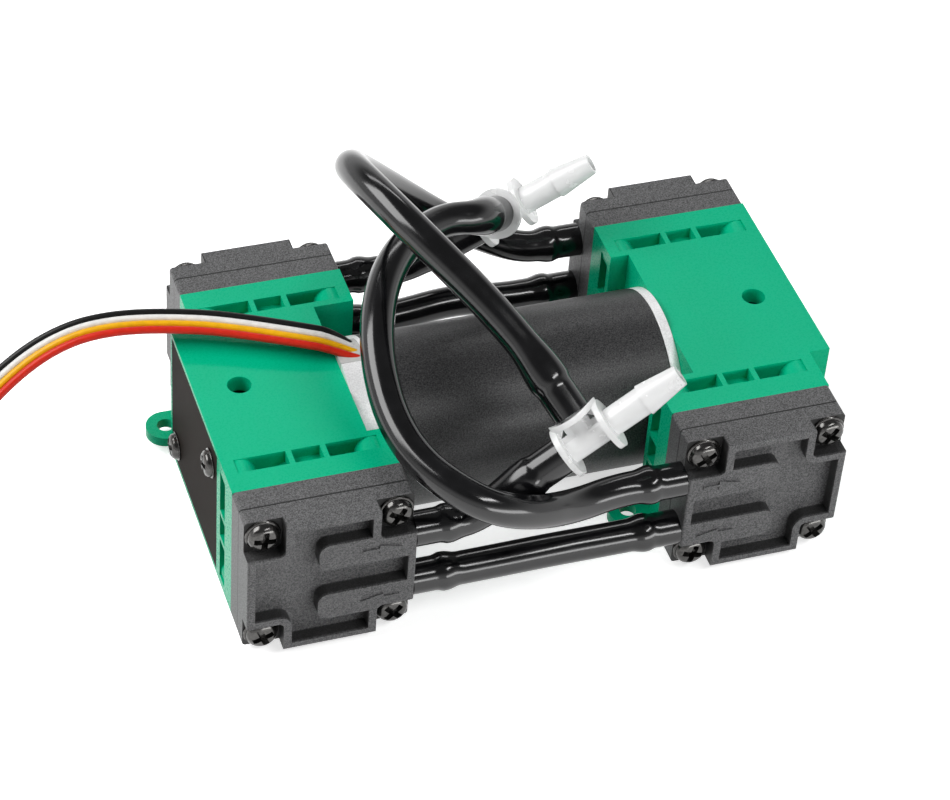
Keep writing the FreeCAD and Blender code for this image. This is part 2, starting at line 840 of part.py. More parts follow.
outlet_tee = Vec(outlet_tee_x, -port_line - outlet_tee_out, top_height + outlet_tee_rise)
outlet_bend = ahead(front_left_outlet, outlet_feed_straight)
outlet_run = (outlet_tee - outlet_bend).normalize()
outlet_branch = square_to(Vec(-0.387, 0.743, 0.546), outlet_run)
inlet_tee = Vec(inlet_tee_x, port_line - inlet_tee_in, top_height + inlet_tee_rise)
inlet_bend = ahead(back_left_inlet, inlet_feed_straight)
inlet_run = (inlet_tee - inlet_bend).normalize()
inlet_branch = square_to(Vec(-0.53, -0.64, 0.55), inlet_run)

# Hose routes, from barb face to barb face

inlet_loop = [
    front_right_inlet,
    ahead(front_right_inlet, inlet_loop_straight),
    Vec(1.7, -40.4, 25.9),
    Vec(-8.6, -45.5, 31.6),
    Vec(-17, -46.8, 36),
    Vec(-23.3, -43.3, 38.8),
    Vec(-28.7, -35, 40.3),
    Vec(-31.3, -26, 43.4),
    Vec(-31.3, -16.5, 47.8),
    Vec(-29.1, -7, 50.9),
    Vec(-25.1, 2, 52.8),
    Vec(-19.4, 10, 53.4),
    Vec(-12.9, 16, 52.1),
    Vec(-6.1, 20, 51),
    on_line(inlet_tee, inlet_branch, inlet_branch_straight),
    on_line(inlet_tee, inlet_branch, tee_half),
]
outlet_loop = [
    on_line(outlet_tee, outlet_branch, tee_half),
    on_line(outlet_tee, outlet_branch, outlet_branch_straight),
    Vec(-10.5, -13.5, 59.5),
    Vec(-17.9, -3.4, 65.5),
    Vec(-23.2, 7.4, 68.3),
    Vec(-25.7, 18.5, 67.2),
    Vec(-24.7, 28.5, 62.1),
    Vec(-17.2, 37.2, 51),
    Vec(-7.3, 44, 38.4),
    Vec(2.1, 47, 28.4),
    Vec(9.6, 44.2, 24.2),
    ahead(back_right_outlet, outlet_loop_straight),
    back_right_outlet,
]
outlet_feed = [front_left_outlet, outlet_bend, on_line(outlet_tee, outlet_run, -tee_half)]
inlet_feed = [back_left_inlet, inlet_bend, on_line(inlet_tee, inlet_run, -tee_half)]


def link(side_y, rise):
    """Hose straight across between the lower ports of two heads, with a slight bow."""
    left_x, right_x = (back_right_x, front_right_x) if side_y < 0 else (front_right_x, back_right_x)
    left = port(-left_x, side_y, -1)
    right = port(right_x, side_y, -1)
    middle = Vec((right_x - left_x) / 2, side_y * (port_line + link_bow), left.z + rise)
    return [left, ahead(left, link_straight), middle, ahead(right, link_straight), right]


front_link = link(-1, -front_link_drop)
back_link = link(1, back_link_rise)

def lead_exit(place):
    """Start of a lead inside the grommet; the four lie side by side under the cap's round top."""
    radius = motor_radius - lead_exit_sink
    angle = math.radians(lead_exit_angle) + place * lead_exit_spacing / radius
    return Vec(lead_exit_place - motor_half_length, radius * math.sin(angle),
               axis_height + radius * math.cos(angle))


# Middle line of the four leads, from the grommet to the surface that the pump stands on

lead_route = [
    lead_exit(0),
    Vec(-34.2, 5.6, lead_height - 1),
    Vec(-39.2, 7.5, lead_height - 0.3),
    Vec(-44.4, 9.7, lead_height + 0.1),
    Vec(-50.3, 12.3, lead_height + 0.4),
    Vec(-56.4, 14.9, lead_height + 0.5),
    Vec(-62.7, 16.9, lead_height + 0.5),
    Vec(-69.2, 18.5, lead_height + 0.5),
    Vec(-75.8, 19.7, lead_height + 0.1),
    Vec(-82.4, 20.4, 36.8),
    Vec(-89.2, 20.3, 34),
    Vec(-95.8, 19.4, 29.9),
    Vec(-102.2, 17.8, 24.8),
    Vec(-108.8, 16, 18.6),
    Vec(-115.4, 13.6, 12),
    Vec(-122.2, 10.2, 6.2),
    Vec(-129.6, 5.6, 2.2),
    Vec(-136.8, -0.6, 0.85),
    Vec(-142.2, -8.6, 0.85),
    Vec(-145, -18, 0.85),
    Vec(-145, -27.8, 0.85),
]
lead_order = ["red", "yellow", "white", "black"]


def lead_points(index):
    """Route of one lead, beside its neighbours along the middle line."""
    place = index - (len(lead_order) - 1) / 2
    points = [lead_exit(place)]
    for before, middle, after in zip(lead_route, lead_route[1:], lead_route[2:] + lead_route[-1:]):
        sideways = (after - before).cross(along_z).normalize()
        points.append(middle + sideways * (place * lead_spacing))
    return points


def build():
    os.makedirs("parts", exist_ok=True)
    save_both("crankcase_right", "crankcase_left", crankcase())
    save_both("end_cover_right", "end_cover_left", end_cover())
    save("end_cover_screws", end_cover_screws())
    for place, seat, opposite in (("back", seat_back, "front"), ("front", seat_front, "back")):
        inward = -1 if place == "front" else 1
        stroke = inward * stroke_offset
        right = place + "_right"
        left = opposite + "_left"
        save_both("head_base_" + right, "head_base_" + left, seat(head_base()))
        save_both("head_cover_" + right, "head_cover_" + left, seat(head_cover()))
        save_both("valve_sheet_" + right, "valve_sheet_" + left, seat(valve_sheet()))
        save_both("diaphragm_" + right, "diaphragm_" + left, seat(diaphragm(stroke)))
        save_both("connecting_rod_" + right, "connecting_rod_" + left, seat(connecting_rod(stroke, stroke)))
        save_both("diaphragm_bolt_" + right, "diaphragm_bolt_" + left, seat(diaphragm_bolt(stroke)))
    save("head_screws", head_screws())
    save_both("eccentric_right", "eccentric_left", eccentric())
    save_both("crank_bearings_right", "crank_bearings_left", crank_bearings())
    save("set_screws", set_screws())
    save("motor_can", motor_can())
    save("motor_front_plate", motor_end(flange_plate))
    save("motor_rear_cap", rear_cap())
    save("motor_bearings", motor_bearings())
    save("motor_shaft", rod_x(shaft_radius, -shaft_half_length, shaft_half_length))
    save("rotor_magnet", rotor_magnet())
    save("stator_core", stator_core())
    save("stator_windings", stator_windings())
    save("control_board", control_board())
    save("cable_grommet", cable_grommet())
    save("motor_screws", motor_screws())
    save("tee_outlet", tee(outlet_tee, outlet_run, outlet_branch))
    save("tee_inlet", tee(inlet_tee, inlet_run, inlet_branch))
    hose("hose_inlet_loop", inlet_loop, port_barb, tee_barb)
    hose("hose_outlet_loop", outlet_loop, tee_barb, port_barb)
    hose("hose_outlet_feed", outlet_feed, port_barb, tee_barb)
    hose("hose_inlet_feed", inlet_feed, port_barb, tee_barb)
    hose("hose_front_link", front_link, port_barb, port_barb)
    hose("hose_back_link", back_link, port_barb, port_barb)
    for index, colour in enumerate(lead_order):
        lead("lead_" + colour, lead_points(index))
    save("lead_tips", Part.makeCompound([lead_tip(lead_points(index)) for index in range(len(lead_order))]))


build()
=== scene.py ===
import json
import math
import bmesh
import bpy
from mathutils import Matrix, Vector


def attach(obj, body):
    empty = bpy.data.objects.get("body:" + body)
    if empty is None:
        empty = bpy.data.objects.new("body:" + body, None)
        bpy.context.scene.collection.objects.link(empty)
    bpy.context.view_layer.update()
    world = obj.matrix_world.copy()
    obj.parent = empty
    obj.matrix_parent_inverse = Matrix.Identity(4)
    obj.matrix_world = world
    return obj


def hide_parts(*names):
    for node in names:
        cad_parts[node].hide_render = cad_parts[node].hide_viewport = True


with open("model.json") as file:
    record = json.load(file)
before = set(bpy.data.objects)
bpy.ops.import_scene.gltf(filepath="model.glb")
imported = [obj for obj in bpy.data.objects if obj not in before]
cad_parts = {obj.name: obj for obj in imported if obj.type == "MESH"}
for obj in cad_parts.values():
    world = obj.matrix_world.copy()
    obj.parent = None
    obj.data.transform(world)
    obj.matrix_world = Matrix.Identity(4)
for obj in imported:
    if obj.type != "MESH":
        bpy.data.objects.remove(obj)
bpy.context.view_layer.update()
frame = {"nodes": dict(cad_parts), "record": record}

mm = 0.001


def metres(*point):
    return Vector(point) * mm


# sizes that several pieces share, in millimetres

pump = {
    "axisHeight": 18.0,
    "portY": 37.2,
    "portRise": 6.6,
    "outerPortX": 29.9,
    "innerPortX": 25.45,
    "hoseRadius": 3.35,   # as thick as in the photo, while the solids' hoses have 3.0
}
screws = {
    "headRadius": 3.15,
    "headHeight": 2.3,
    "plateHeadHeight": 1.7,
    "plateHeadWidth": 0.86,   # against the head screws' own
    "headProfile": [(0.0, 1.11), (0.17, 1.11), (0.23, 1.08), (0.26, 0.99), (0.52, 0.97), (0.66, 0.93),
                    (0.82, 0.83), (0.93, 0.7), (1.0, 0.54)],   # a thin flange under the domed head
    "recessReach": 2.3,
    "recessWidth": 1.3,
    "recessDepth": 1.5,
    "recessTaper": 0.7,
    "cutterTop": 1.1,   # against the head's height
    "sides": 32,
    "smoothAngle": 28,
    "mostSpin": 6.28,
    "spinSeed": 7,
    "pocketFloor": 37.4,
    "pitchX": 26.2,
    "pitchZ": 26.2,
    "farHeadX": 46.6,
    "nearHeadX": 42.15,
    "plateX": 63.3,
    "plateY": 13.3,
    "plateZ": 10.0,
}

# camera, floor and light

studio = {
    "cameraPlace": (-174.52, -436.34, 448.59),   # millimetres from the pump's middle
    "cameraAzimuth": -21.257,
    "cameraElevation": 42.526,
    "cameraRoll": 4.692,
    "lens": 118.85,
    "sensorWidth": 36.0,
    "nearest": 0.01,
    "floorSize": 8.0,
    "floorRoughness": 0.9,
    "floorSeen": (1.0, 1.0, 1.0),
    "floorTint": (0.42, 0.42, 0.42),
    "floorGlow": (0.6, 0.6, 0.6),   # only where the floor is seen
    "floorGlowFar": (0.9, 0.9, 0.9),
    "floorFade": (0.3, 1.5),   # metres from the pump between which the near glow gives way to the far one
    "skyStrength": 0.16,
    "skyFade": (0.2, 0.6),   # heights at which reflections begin and end to lose the white
}
lamps = {   # place, target and size in metres, power in watts
    "keyLamp": {"place": (-0.46, 0.14, 0.48), "target": (-0.03, 0, 0.03), "size": (0.5, 0.4), "power": 4.3},
    "fillLamp": {"place": (0.36, -0.6, 0.14), "target": (0.05, 0, 0.02), "size": (0.8, 0.15), "power": 2.5},
    "backLamp": {"place": (0.12, 0.62, 0.62), "target": (-0.03, 0, 0.03), "size": (0.6, 0.08), "power": 0.9},
    "highLamp": {"place": (0.3, -0.4, 0.6), "target": (0, 0, 0.03), "size": (0.45, 0.08), "power": 1.7},
}


def aimCamera():
    a = math.radians(studio["cameraAzimuth"])
    e = math.radians(studio["cameraElevation"])
    back = Vector((math.sin(a) * math.cos(e), -math.cos(a) * math.cos(e), math.sin(e)))
    right = Vector((0, 0, 1)).cross(back).normalized()
    up = back.cross(right)
    turn = Matrix.Rotation(math.radians(studio["cameraRoll"]), 3, back)
    data = bpy.data.cameras.new("camera")
    data.lens = studio["lens"]
    data.sensor_width = studio["sensorWidth"]
    data.clip_start = studio["nearest"]
    camera = bpy.data.objects.new("camera", data)
    bpy.context.scene.collection.objects.link(camera)
    camera.matrix_world = Matrix((turn @ right, turn @ up, turn @ back)).transposed().to_4x4()
    camera.location = metres(*studio["cameraPlace"])
    bpy.context.scene.camera = camera


def hangLamps():
    for name, lamp in lamps.items():
        data = bpy.data.lights.new(name, "AREA")
        data.shape = "RECTANGLE"
        data.size, data.size_y = lamp["size"]
        data.energy = lamp["power"]
        thing = bpy.data.objects.new(name, data)
        bpy.context.scene.collection.objects.link(thing)
        place = Vector(lamp["place"])
        thing.location = place
        thing.rotation_mode = "QUATERNION"
        thing.rotation_quaternion = (Vector(lamp["target"]) - place).to_track_quat("-Z", "Y")


# shader maths

class Wire:   # a socket that adds Math nodes when it is used in an expression

    def __init__(self, tree, socket):
        self.tree = tree
        self.socket = socket

    def maths(self, operation, first, second):
        node = self.tree.nodes.new("ShaderNodeMath")
        node.operation = operation
        for socket, value in zip(node.inputs, (first, second)):
            plug(self.tree, socket, value)
        return Wire(self.tree, node.outputs[0])

    def __add__(self, other):
        return self.maths("ADD", self, other)

    def __radd__(self, other):
        return self.maths("ADD", other, self)

    def __sub__(self, other):
        return self.maths("SUBTRACT", self, other)

    def __rsub__(self, other):
        return self.maths("SUBTRACT", other, self)

    def __mul__(self, other):
        return self.maths("MULTIPLY", self, other)

    def __rmul__(self, other):
        return self.maths("MULTIPLY", other, self)


def plug(tree, socket, value):
    if isinstance(value, Wire):
        tree.links.new(value.socket, socket)
    elif isinstance(value, (tuple, list)) and len(value) == 3 and socket.type == "RGBA":
        socket.default_value = (*value, 1.0)
    else:
        socket.default_value = value


class Finish:   # one material: its tree, its shader and the way to add any node to it

    def __init__(self, name):
        self.material = bpy.data.materials.new(name)
        self.material.use_nodes = True
        self.tree = self.material.node_tree
        self.shader = self.tree.nodes["Principled BSDF"]
        self.place = self.node("ShaderNodeTexCoord", out="Object")

    def node(self, kind, settings=None, out=0, **values):
        node = self.tree.nodes.new(kind)
        for key, value in (settings or {}).items():
            setattr(node, key, value)
        for key, value in values.items():
            place = int(key[1:]) if key[1:].isdigit() else key.replace("_", " ")   # i0 is input 0
            plug(self.tree, node.inputs[place], value)
        return Wire(self.tree, node.outputs[out])

    def noise(self, scale, detail=2.0, roughness=0.5):
        return self.node("ShaderNodeTexNoise", Vector=self.place, Scale=scale, Detail=detail,
                         Roughness=roughness)

    def along(self, axis):
        return self.node("ShaderNodeSeparateXYZ", out=axis, Vector=self.place)

    def size(self, value):
        return self.node("ShaderNodeMath", {"operation": "ABSOLUTE"}, i0=value)

    def ramp(self, factor, low, high):   # factor stretched so that low gives 0 and high gives 1
        return self.node("ShaderNodeMapRange", Value=factor, From_Min=low, From_Max=high)

    def mixed(self, factor, first, second):
        return self.node("ShaderNodeMix", {"data_type": "RGBA"}, out=2, i0=factor, i6=first, i7=second)

    def bump(self, height, strength, distance):
        return self.node("ShaderNodeBump", Height=height, Strength=strength, Distance=distance)

    def set(self, **values):
        for key, value in values.items():
            plug(self.tree, self.shader.inputs[key.replace("_", " ")], value)
        return self.material


finishes = {   # swing: how far the roughness varies; bump: strength and depth in metres; fade: tones' ends
    "plain": {"darker": 0.88, "fade": (0.35, 0.65), "swing": 0.08, "bump": (0.25, 0.00003)},
    "metal": {"darker": 0.8, "grain": 1500.0, "swing": 0.15, "bump": (0.1, 0.00002)},
    "speckles": {"fade": (0.36, 0.7), "swing": 0.15, "depth": 0.00005, "gloss": 0.35},
    "greenPlastic": {"base": (0.0, 0.44, 0.23), "shade": (0.0, 0.405, 0.205), "roughness": 0.28,
                     "grain": 2600.0, "broadGrain": 60.0, "shares": (0.6, 0.4), "fade": (0.35, 0.65),
                     "swing": 0.12, "bump": (0.18, 0.00003), "gloss": 0.08},
    "headPlastic": {"dark": (0.036, 0.036, 0.037), "light": (0.175, 0.175, 0.178), "roughness": 0.5,
                    "grain": 3700.0, "jointPlace": 33.65, "jointWidth": 0.24, "pocketReach": 3.95,
                    # pocket and wall entries and the near-black colour below are painted shade in the screw
                    # pockets and on the recess walls
                    "pocketDepths": (37.3, 40.4), "wallReach": 15.15, "wallDepths": (37.75, 40.5),
                    "wallShade": 0.8, "hollow": (0.012, 0.012, 0.012), "joint": (0.006, 0.006, 0.006),
                    "jointCore": 0.4, "pocketSoft": (0.15, 0.4, 0.1), "wallSoft": (0.1, 0.5, 0.3)},
    "motorPaint": {"dark": (0.005, 0.005, 0.006), "light": (0.075, 0.075, 0.076), "roughness": 0.4,
                   "grain": 3800.0},
    "castMetal": {"dark": (0.74, 0.74, 0.745), "light": (0.96, 0.96, 0.965), "roughness": 0.42,
                  "grain": 3200.0},
    "hose": {"base": (0.002, 0.002, 0.0025), "film": (0.006, 0.006, 0.007), "roughness": 0.16,
             "grain": 220.0, "fineGrain": 3000.0, "fade": (0.4, 0.8), "swing": 0.12,
             "bump": (0.05, 0.00001), "gloss": 0.6},
    "teePlastic": {"base": (0.93, 0.935, 0.935), "cloud": (0.89, 0.895, 0.895), "roughness": 0.26,
                   "grain": 260.0, "fade": (0.3, 0.7), "swing": 0.1, "clear": 0.15, "milk": 0.4,
                   "milkDepth": 0.002},
    "screwSteel": {"base": (0.032, 0.031, 0.03), "worn": (0.13, 0.127, 0.123), "roughness": 0.2,
                   "grain": 1800.0, "swing": 0.15, "metallic": 0.9},
    "endPlate": {"base": (0.022, 0.018, 0.016), "roughness": 0.5, "gloss": 0.008},
}


def plainPlastic(name, colour, roughness, grain=900.0, gloss=0.4):   # slightly mottled
    look = finishes["plain"]
    finish = Finish(name)
    mottle = finish.noise(grain, 3.0)
    darker = tuple(look["darker"] * value for value in colour)
    colourMix = finish.mixed(finish.ramp(mottle, *look["fade"]), darker, colour)
    return finish.set(Base_Color=colourMix, Roughness=roughness + look["swing"] * (mottle - 0.5),
                      Specular_IOR_Level=gloss, Normal=finish.bump(mottle, *look["bump"]))


def mouldedGreen():
    look = finishes["greenPlastic"]
    finish = Finish("mouldedGreen")
    fine = finish.noise(look["grain"], 2.0, 0.6)
    broad = finish.noise(look["broadGrain"], 2.0)
    fineShare, broadShare = look["shares"]
    tone = finish.ramp(fineShare * fine + broadShare * broad, *look["fade"])
    return finish.set(Base_Color=finish.mixed(tone, look["shade"], look["base"]),
                      Roughness=look["roughness"] + look["swing"] * (fine - 0.5),
                      Specular_IOR_Level=look["gloss"], Normal=finish.bump(fine, *look["bump"]))


def headHollowShade(finish, look):   # mask of painted shade: 1 in the pockets round the head screws and on the walls of the recesses
    across = finish.along(0)
    away = finish.along(1)
    depth = finish.size(away)
    side = finish.node("ShaderNodeMath", {"operation": "SIGN"}, i0=across * away)
    middle = (screws["farHeadX"] + screws["nearHeadX"]) / 2 * mm
    shift = (screws["farHeadX"] - screws["nearHeadX"]) / 2 * mm
    offX = finish.size(finish.size(across) - (middle + side * shift))
    offZ = finish.size(finish.along(2) - pump["axisHeight"] * mm)
    dx = finish.size(offX - screws["pitchX"] / 2 * mm)
    dz = finish.size(offZ - screws["pitchZ"] / 2 * mm)

    def within(far, reach, depths, soft):   # 1 nearer than reach and between two depths, with soft edges
        low, high = depths
        inside = finish.ramp(far, (reach + soft[0]) * mm, reach * mm)
        below = finish.ramp(depth, high * mm, (high - soft[1]) * mm)
        return inside * below * finish.ramp(depth, low * mm, (low + soft[2]) * mm)

    pockets = within(dx.maths("MAXIMUM", dx, dz), look["pocketReach"], look["pocketDepths"],
                     look["pocketSoft"])
    walls = within(offX.maths("MAXIMUM", offX, offZ), look["wallReach"], look["wallDepths"],
                   look["wallSoft"])
    return pockets.maths("MAXIMUM", pockets, walls * look["wallShade"])


def speckled(name, look, metallic=0.0, strength=0.5):   # fine grains that catch the light
    shared = finishes["speckles"]
    finish = Finish(name)
    grains = finish.noise(look["grain"], 2.0, 0.7)
    colour = finish.mixed(finish.ramp(grains, *shared["fade"]), look["dark"], look["light"])
    if "jointPlace" in look:   # dark line where the head's two halves meet
        offset = finish.size(finish.size(finish.along(1)) - look["jointPlace"] * mm)
        width = look["jointWidth"] * mm
        colour = finish.mixed(finish.ramp(offset, width, look["jointCore"] * width), colour, look["joint"])
        # painted shade: the screw pockets and the recess walls take a near-black colour
        colour = finish.mixed(headHollowShade(finish, look), colour, look["hollow"])
    return finish.set(Base_Color=colour, Metallic=metallic, Specular_IOR_Level=shared["gloss"],
                      Roughness=look["roughness"] + shared["swing"] * (0.5 - grains),
                      Normal=finish.bump(grains, strength, shared["depth"]))


def glossyHose():
    look = finishes["hose"]
    finish = Finish("glossyHose")
    film = finish.noise(look["grain"], 4.0, 0.6)
    fine = finish.noise(look["fineGrain"], 1.0)
    tone = finish.ramp(film, *look["fade"])
    return finish.set(Base_Color=finish.mixed(tone, look["base"], look["film"]),
                      Roughness=look["roughness"] + look["swing"] * (film - 0.5),
                      Specular_IOR_Level=look["gloss"], Normal=finish.bump(fine, *look["bump"]))


def milkyPlastic():
    look = finishes["teePlastic"]
    finish = Finish("milkyPlastic")
    cloud = finish.noise(look["grain"], 3.0)
    tint = finish.mixed(finish.ramp(cloud, *look["fade"]), look["cloud"], look["base"])
    return finish.set(Base_Color=tint, Roughness=look["roughness"] + look["swing"] * (cloud - 0.5),
                      IOR=1.46, Transmission_Weight=look["clear"], Subsurface_Weight=look["milk"],
                      Subsurface_Scale=look["milkDepth"], Subsurface_Radius=(1.0, 1.0, 1.0))


def darkSteel():
    look = finishes["screwSteel"]
    finish = Finish("darkSteel")
    turned = finish.noise(look["grain"], 2.0)
    return finish.set(Base_Color=finish.mixed(turned, look["base"], look["worn"]),
                      Metallic=look["metallic"],
                      Roughness=look["roughness"] + look["swing"] * (turned - 0.5))


def metalFinish(name, colour, roughness):
    look = finishes["metal"]
    finish = Finish(name)
    brushed = finish.noise(look["grain"], 3.0)
    darker = tuple(look["darker"] * value for value in colour)
    return finish.set(Base_Color=finish.mixed(brushed, darker, colour), Metallic=1.0,
                      Roughness=roughness + look["swing"] * (brushed - 0.5),
                      Normal=finish.bump(brushed, *look["bump"]))


def floorFinish():
    finish = Finish("floorPaper")
    seen = (finish.node("ShaderNodeLightPath", out="Is Camera Ray")
            + finish.node("ShaderNodeLightPath", out="Is Glossy Ray")
            + finish.node("ShaderNodeLightPath", out="Is Transmission Ray"))
    reach = finish.node("ShaderNodeVectorMath", {"operation": "LENGTH"}, out=1, i0=finish.place)
    far = finish.ramp(reach, *studio["floorFade"])
    glow = finish.mixed(far, studio["floorGlow"], studio["floorGlowFar"])
    return finish.set(Base_Color=finish.mixed(seen, studio["floorTint"], studio["floorSeen"]),
                      Emission_Color=finish.mixed(seen, (0.0, 0.0, 0.0), glow),
                      Emission_Strength=1.0, Roughness=studio["floorRoughness"], Specular_IOR_Level=0.0)


def lightSky():
    world = bpy.data.worlds.new("sky")
    bpy.context.scene.world = world
    world.use_nodes = True
    tree = world.node_tree
    nodes = tree.nodes
    path = nodes.new("ShaderNodeLightPath")
    direction = nodes.new("ShaderNodeTexCoord")
    split = nodes.new("ShaderNodeSeparateXYZ")
    tree.links.new(direction.outputs["Generated"], split.inputs[0])
    low, high = studio["skyFade"]
    fade = nodes.new("ShaderNodeMapRange")   # reflections see white round the horizon and a dim ceiling
    fade.interpolation_type = "SMOOTHSTEP"
    fade.inputs["From Min"].default_value = high
    fade.inputs["From Max"].default_value = low
    plug(tree, fade.inputs["Value"], Wire(tree, split.outputs["Z"]))
    reflected = Wire(tree, path.outputs["Is Glossy Ray"]) + Wire(tree, path.outputs["Is Transmission Ray"])
    total = Wire(tree, path.outputs["Is Camera Ray"]) + reflected * Wire(tree, fade.outputs[0])
    white = nodes.new("ShaderNodeBackground")
    white.inputs["Strength"].default_value = 1.0
    white.inputs["Color"].default_value = (1, 1, 1, 1)
    soft = nodes["Background"]
    soft.inputs["Color"].default_value = (1, 1, 1, 1)
    soft.inputs["Strength"].default_value = studio["skyStrength"]
    mix = nodes.new("ShaderNodeMixShader")
    plug(tree, mix.inputs[0], total)
    tree.links.new(soft.outputs[0], mix.inputs[1])
    tree.links.new(white.outputs[0], mix.inputs[2])
    tree.links.new(mix.outputs[0], nodes["World Output"].inputs["Surface"])


def layFloor():
    mesh = bpy.data.meshes.new("floor")
    half = studio["floorSize"] / 2
    corners = [(-half, -half, 0), (half, -half, 0), (half, half, 0), (-half, half, 0)]
    mesh.from_pydata(corners, [], [(0, 1, 2, 3)])
    floor = bpy.data.objects.new("floor", mesh)
    bpy.context.scene.collection.objects.link(floor)
    mesh.materials.append(floorFinish())


bpy.context.scene.view_settings.view_transform = "Standard"
aimCamera()
hangLamps()
lightSky()
layFloor()
print("camera, lamps and floor are set")

# helpers for pieces

easing = {"weld": 2e-6, "flatAngle": 1.0, "edgeAngle": 40, "smoothAngle": 50}   # metres and degrees
green = mouldedGreen()
headGrey = speckled("headGrey", finishes["headPlastic"], strength=0.35)
motorBlack = speckled("motorBlack", finishes["motorPaint"])
castMetal = speckled("castMetal", finishes["castMetal"], metallic=0.25, strength=0.4)
hoseBlack = glossyHose()
milky = milkyPlastic()
screwSteel = darkSteel()
plateBrown = plainPlastic("plateBrown", finishes["endPlate"]["base"], finishes["endPlate"]["roughness"],
                          gloss=finishes["endPlate"]["gloss"])
groundSteel = metalFinish("groundSteel", (0.62, 0.62, 0.63), 0.3)


def newPiece(name, mesh, material, body="root", replaced=()):   # a finished mesh as a piece
    thing = bpy.data.objects.new(name, mesh)
    bpy.context.scene.collection.objects.link(thing)
    if material:
        mesh.materials.clear()
        mesh.materials.append(material)
    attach(thing, body)
    if replaced:
        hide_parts(*replaced)
    return thing


def smoothByAngle(mesh, degrees):
    limit = math.radians(degrees)
    shell = bmesh.new()
    shell.from_mesh(mesh)
    for face in shell.faces:
        face.smooth = True
    for edge in shell.edges:
        edge.smooth = len(edge.link_faces) == 2 and edge.calc_face_angle(0.0) < limit
    shell.to_mesh(mesh)
    shell.free()


def bakedMesh(thing, name):   # the object's mesh with its modifiers applied; the object goes
    graph = bpy.context.evaluated_depsgraph_get()
    mesh = bpy.data.meshes.new_from_object(thing.evaluated_get(graph), depsgraph=graph)
    mesh.name = name
    bpy.data.objects.remove(thing)
    return mesh


def steadied(mesh, name, degrees):   # smooth curves and flat faces that stay flat beside them
    smoothByAngle(mesh, degrees)
    thing = bpy.data.objects.new(name, mesh)
    bpy.context.scene.collection.objects.link(thing)
    weighted = thing.modifiers.new("steady", "WEIGHTED_NORMAL")
    weighted.keep_sharp = True
    return bakedMesh(thing, name)


def eased(node, name, material, width=0.25, steps=2, reshape=None):   # a node with its edges eased
    mesh = frame["nodes"][node].data.copy()
    shell = bmesh.new()
    shell.from_mesh(mesh)
    bmesh.ops.remove_doubles(shell, verts=shell.verts, dist=easing["weld"])
    if reshape:
        for corner in shell.verts:
            reshape(corner)
    flat = math.radians(easing["flatAngle"])
    bmesh.ops.dissolve_limit(shell, angle_limit=flat, verts=shell.verts, edges=shell.edges)
    shell.to_mesh(mesh)
    shell.free()
    thing = bpy.data.objects.new(name, mesh)
    bpy.context.scene.collection.objects.link(thing)
    bevel = thing.modifiers.new("easing", "BEVEL")
    bevel.width = width * mm
    bevel.segments = steps
    bevel.limit_method = "ANGLE"
    bevel.angle_limit = math.radians(easing["edgeAngle"])
    bevel.use_clamp_overlap = True
    mesh = steadied(bakedMesh(thing, name), name, easing["smoothAngle"])
    return newPiece(name, mesh, material, "root", (node,))


# hoses

# outside of a hose over each kind of barb, in millimetres
portBarb = {"root": 3.5, "ridge": 3.9, "ridgePlace": 6.4, "length": 8.5}
teeBarb = {"root": 3.75, "ridge": 4.1, "ridgePlace": 7.6, "length": 16.0}
barbSwell = {"rise": 1.4, "ridgeWidth": 0.7, "past": 1.5}
hoseMesh = {"sides": 28, "step": 0.7, "smoothAngle": 50}
curves = {"order": 3, "steps": 24}   # of hoses and leads
outletTee = {"centre": Vector((4.2, -37.9, 41.2)), "bend": Vector((-18.0, -37.2, 24.6)),
             "branch": Vector((-0.387, 0.743, 0.546))}
inletTee = {"centre": Vector((10.9, 33.2, 38.7)), "bend": Vector((-8.7, 37.2, 24.6)),
            "branch": Vector((-0.53, -0.64, 0.55))}
teeHalf = 5.4


def onRun(tee, reach):
    return tee["centre"] + (tee["centre"] - tee["bend"]).normalized() * reach


def onBranch(tee, reach):
    run = (tee["centre"] - tee["bend"]).normalized()
    branch = tee["branch"] - run * tee["branch"].dot(run)
    return tee["centre"] + branch.normalized() * reach


def port(x, ySide, zSide, reach=0.0):   # a point on a port's line, reach in front of its face
    return Vector((x - math.copysign(reach, x), ySide * pump["portY"],
                   pump["axisHeight"] + zSide * pump["portRise"]))


